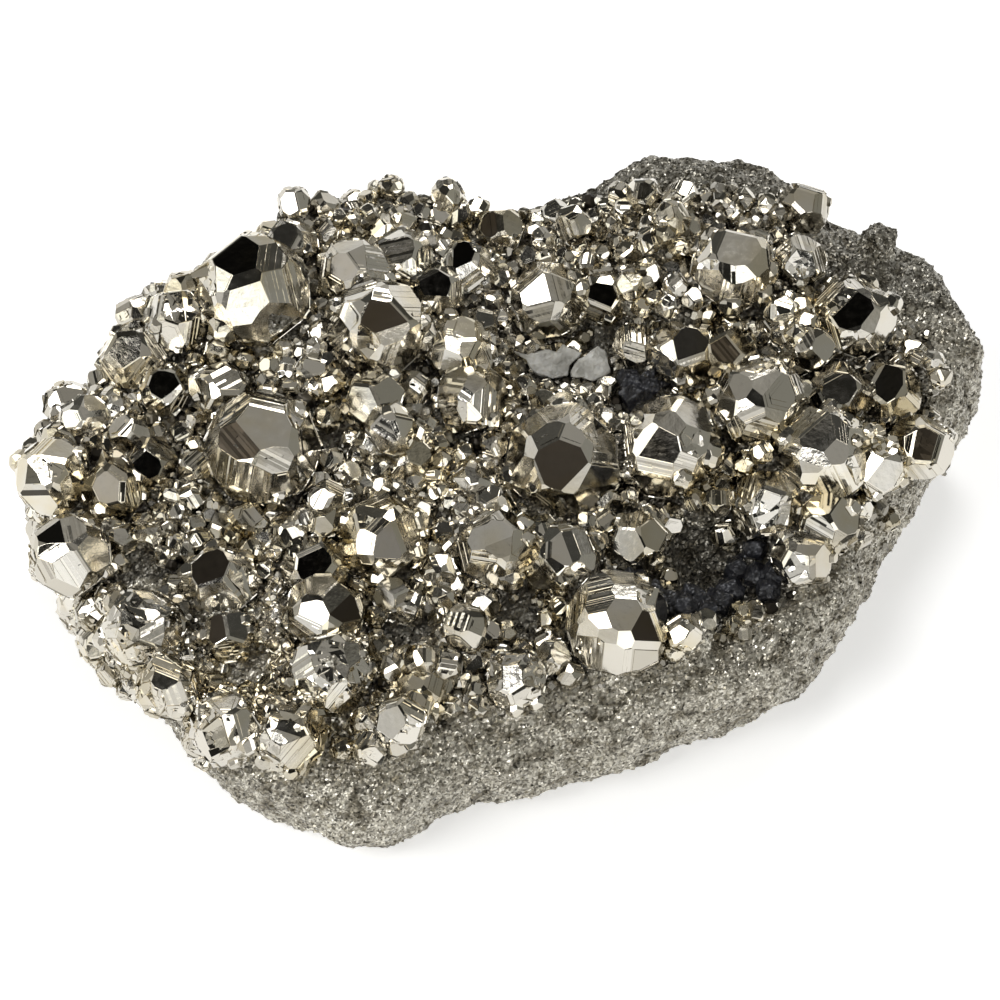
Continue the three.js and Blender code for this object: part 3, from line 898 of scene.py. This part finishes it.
def sphalerite_material():
    """Nearly black with a bluish resinous shine."""
    material, tree, shader = new_material("sphalerite_lumps")
    colour = ramp_of(
        tree,
        noise_of(tree, 500),
        [(0.35, (0.008, 0.008, 0.010)), (0.6, (0.022, 0.023, 0.028)), (0.8, (0.06, 0.062, 0.072))],
    )
    tree.links.new(colour, shader.inputs["Base Color"])
    shader.inputs["Metallic"].default_value = 0.25
    shader.inputs["Roughness"].default_value = 0.3
    return material


def quartz_material():
    """Milky and slightly translucent."""
    material, tree, shader = new_material("milky_quartz")
    colour = ramp_of(tree, noise_of(tree, 420), [(0.35, (0.36, 0.35, 0.315)), (0.7, (0.66, 0.65, 0.61))])
    tree.links.new(colour, shader.inputs["Base Color"])
    shader.inputs["Roughness"].default_value = 0.32
    shader.inputs["Transmission Weight"].default_value = 0.25
    shader.inputs["Subsurface Weight"].default_value = 0.4
    shader.inputs["Subsurface Radius"].default_value = (1.5 * MM, 1.4 * MM, 1.2 * MM)
    shader.inputs["Subsurface Scale"].default_value = 1.0
    return material


# ---------------------------------------------------------------- studio

# Darker and brighter patches of the room: direction, radius in degrees and brightness.
PATCHES = [
    (direction(-12, 53), 29, 0.02),
    (direction(-115, 66), 17, 0.03),
    (direction(125, 38), 24, 0.06),
    (direction(-145, 32), 22, 0.08),
    (direction(-72, 30), 12, 2.2),
    (direction(62, 28), 11, 1.2),
    (direction(8, 16), 9, 2.2),
    (direction(80, 12), 40, 0.3),
]


def build_world():
    """A bright low horizon, a grey ceiling and dark gaps above the front, as round a table in a studio."""
    world = bpy.data.worlds.new("studio")
    bpy.context.scene.world = world
    world.use_nodes = True
    tree = world.node_tree
    background = tree.nodes["Background"]
    place = node_of(tree, "TexCoord")
    split = node_of(tree, "SeparateXYZ")
    tree.links.new(place.outputs["Generated"], split.inputs[0])
    colour = ramp_of(
        tree,
        split.outputs["Z"],
        [
            (0.0, (1.15, 1.15, 1.15)),
            (0.18, (0.95, 0.95, 0.94)),
            (0.38, (0.5, 0.495, 0.475)),
            (0.6, (0.37, 0.363, 0.342)),
            (1.0, (0.35, 0.343, 0.323)),
        ],
    )
    factor_socket, first_socket, second_socket, result_socket = 0, 6, 7, 2  # of a colour mix
    for centre, radius, value in PATCHES:
        closeness = vector_math(tree, "DOT_PRODUCT", place.outputs["Generated"], centre)
        rim = [math.cos(math.radians(radius + softness)) for softness in (3, -3)]
        within = range_of(tree, closeness, rim, (0, 1), interpolation_type="SMOOTHSTEP")
        mix = node_of(tree, "Mix", data_type="RGBA")
        mix.inputs[second_socket].default_value = (value, value, value * 0.92, 1)
        tree.links.new(within, mix.inputs[factor_socket])
        tree.links.new(colour, mix.inputs[first_socket])
        colour = mix.outputs[result_socket]
    tree.links.new(colour, background.inputs["Color"])


def build_floor():
    """A pale floor that glows a little, so that shadows stay faint."""
    material, tree, shader = new_material("pale_floor")
    shader.inputs["Base Color"].default_value = (0.9, 0.9, 0.9, 1)
    shader.inputs["Roughness"].default_value = 0.7
    shader.inputs["Emission Color"].default_value = (1, 1, 1, 1)
    shader.inputs["Emission Strength"].default_value = 0.45
    mesh = bpy.data.meshes.new("floor")
    corners = [(-3, -3, 0), (3, -3, 0), (3, 3, 0), (-3, 3, 0)]
    mesh.from_pydata(corners, [], [(0, 1, 2, 3)])
    mesh.materials.append(material)
    floor = bpy.data.objects.new("floor", mesh)
    bpy.context.scene.collection.objects.link(floor)


def add_light(name, towards, distance, size, power):
    """A round soft light that shines on the crystals from a direction."""
    data = bpy.data.lights.new(name, "AREA")
    data.shape = "DISK"
    data.size = size
    data.energy = power
    light = bpy.data.objects.new(name, data)
    light.location = BED_CENTRE + towards * distance
    light.rotation_mode = "QUATERNION"
    light.rotation_quaternion = (-towards).to_track_quat("-Z", "Y")
    bpy.context.scene.collection.objects.link(light)


def build_camera():
    """A camera in front of the slab that looks down on the crystals."""
    data = bpy.data.cameras.new("camera")
    data.lens = 85
    data.sensor_width = 36
    camera = bpy.data.objects.new("camera", data)
    back = Vector((0, -math.cos(VIEW_HEIGHT), math.sin(VIEW_HEIGHT)))
    camera.location = BED_CENTRE + back * CAMERA_DISTANCE
    camera.rotation_mode = "QUATERNION"
    camera.rotation_quaternion = (-back).to_track_quat("-Z", "Y")
    data.clip_start = 0.01
    data.clip_end = 20
    bpy.context.scene.collection.objects.link(camera)
    bpy.context.scene.camera = camera


# ---------------------------------------------------------------- assembly

pyrite = pyrite_material("pyrite_faces", 1, 0)
# A copy darkened to 0.62 for the small crystals: painted shade for crystals that sit low among the larger
# ones. It is also rougher.
dim_pyrite = pyrite_material("pyrite_small_faces", 0.62, 0.14)
placed_crystals = build_named_crystals(pyrite)
rock, rock_tree = build_rock(rock_material())
build_druse(rock_tree, placed_crystals, pyrite, dim_pyrite)
build_sphalerite(sphalerite_material())
build_quartz(quartz_material())

build_world()
build_floor()
add_light("key", direction(-55, 48), 1.0, 0.5, 3.5)
add_light("fill", direction(25, 45), 1.0, 0.5, 1.5)
add_light("back", direction(165, 55), 1.0, 0.4, 3)
build_camera()
bpy.context.scene.view_settings.view_transform = "Standard"
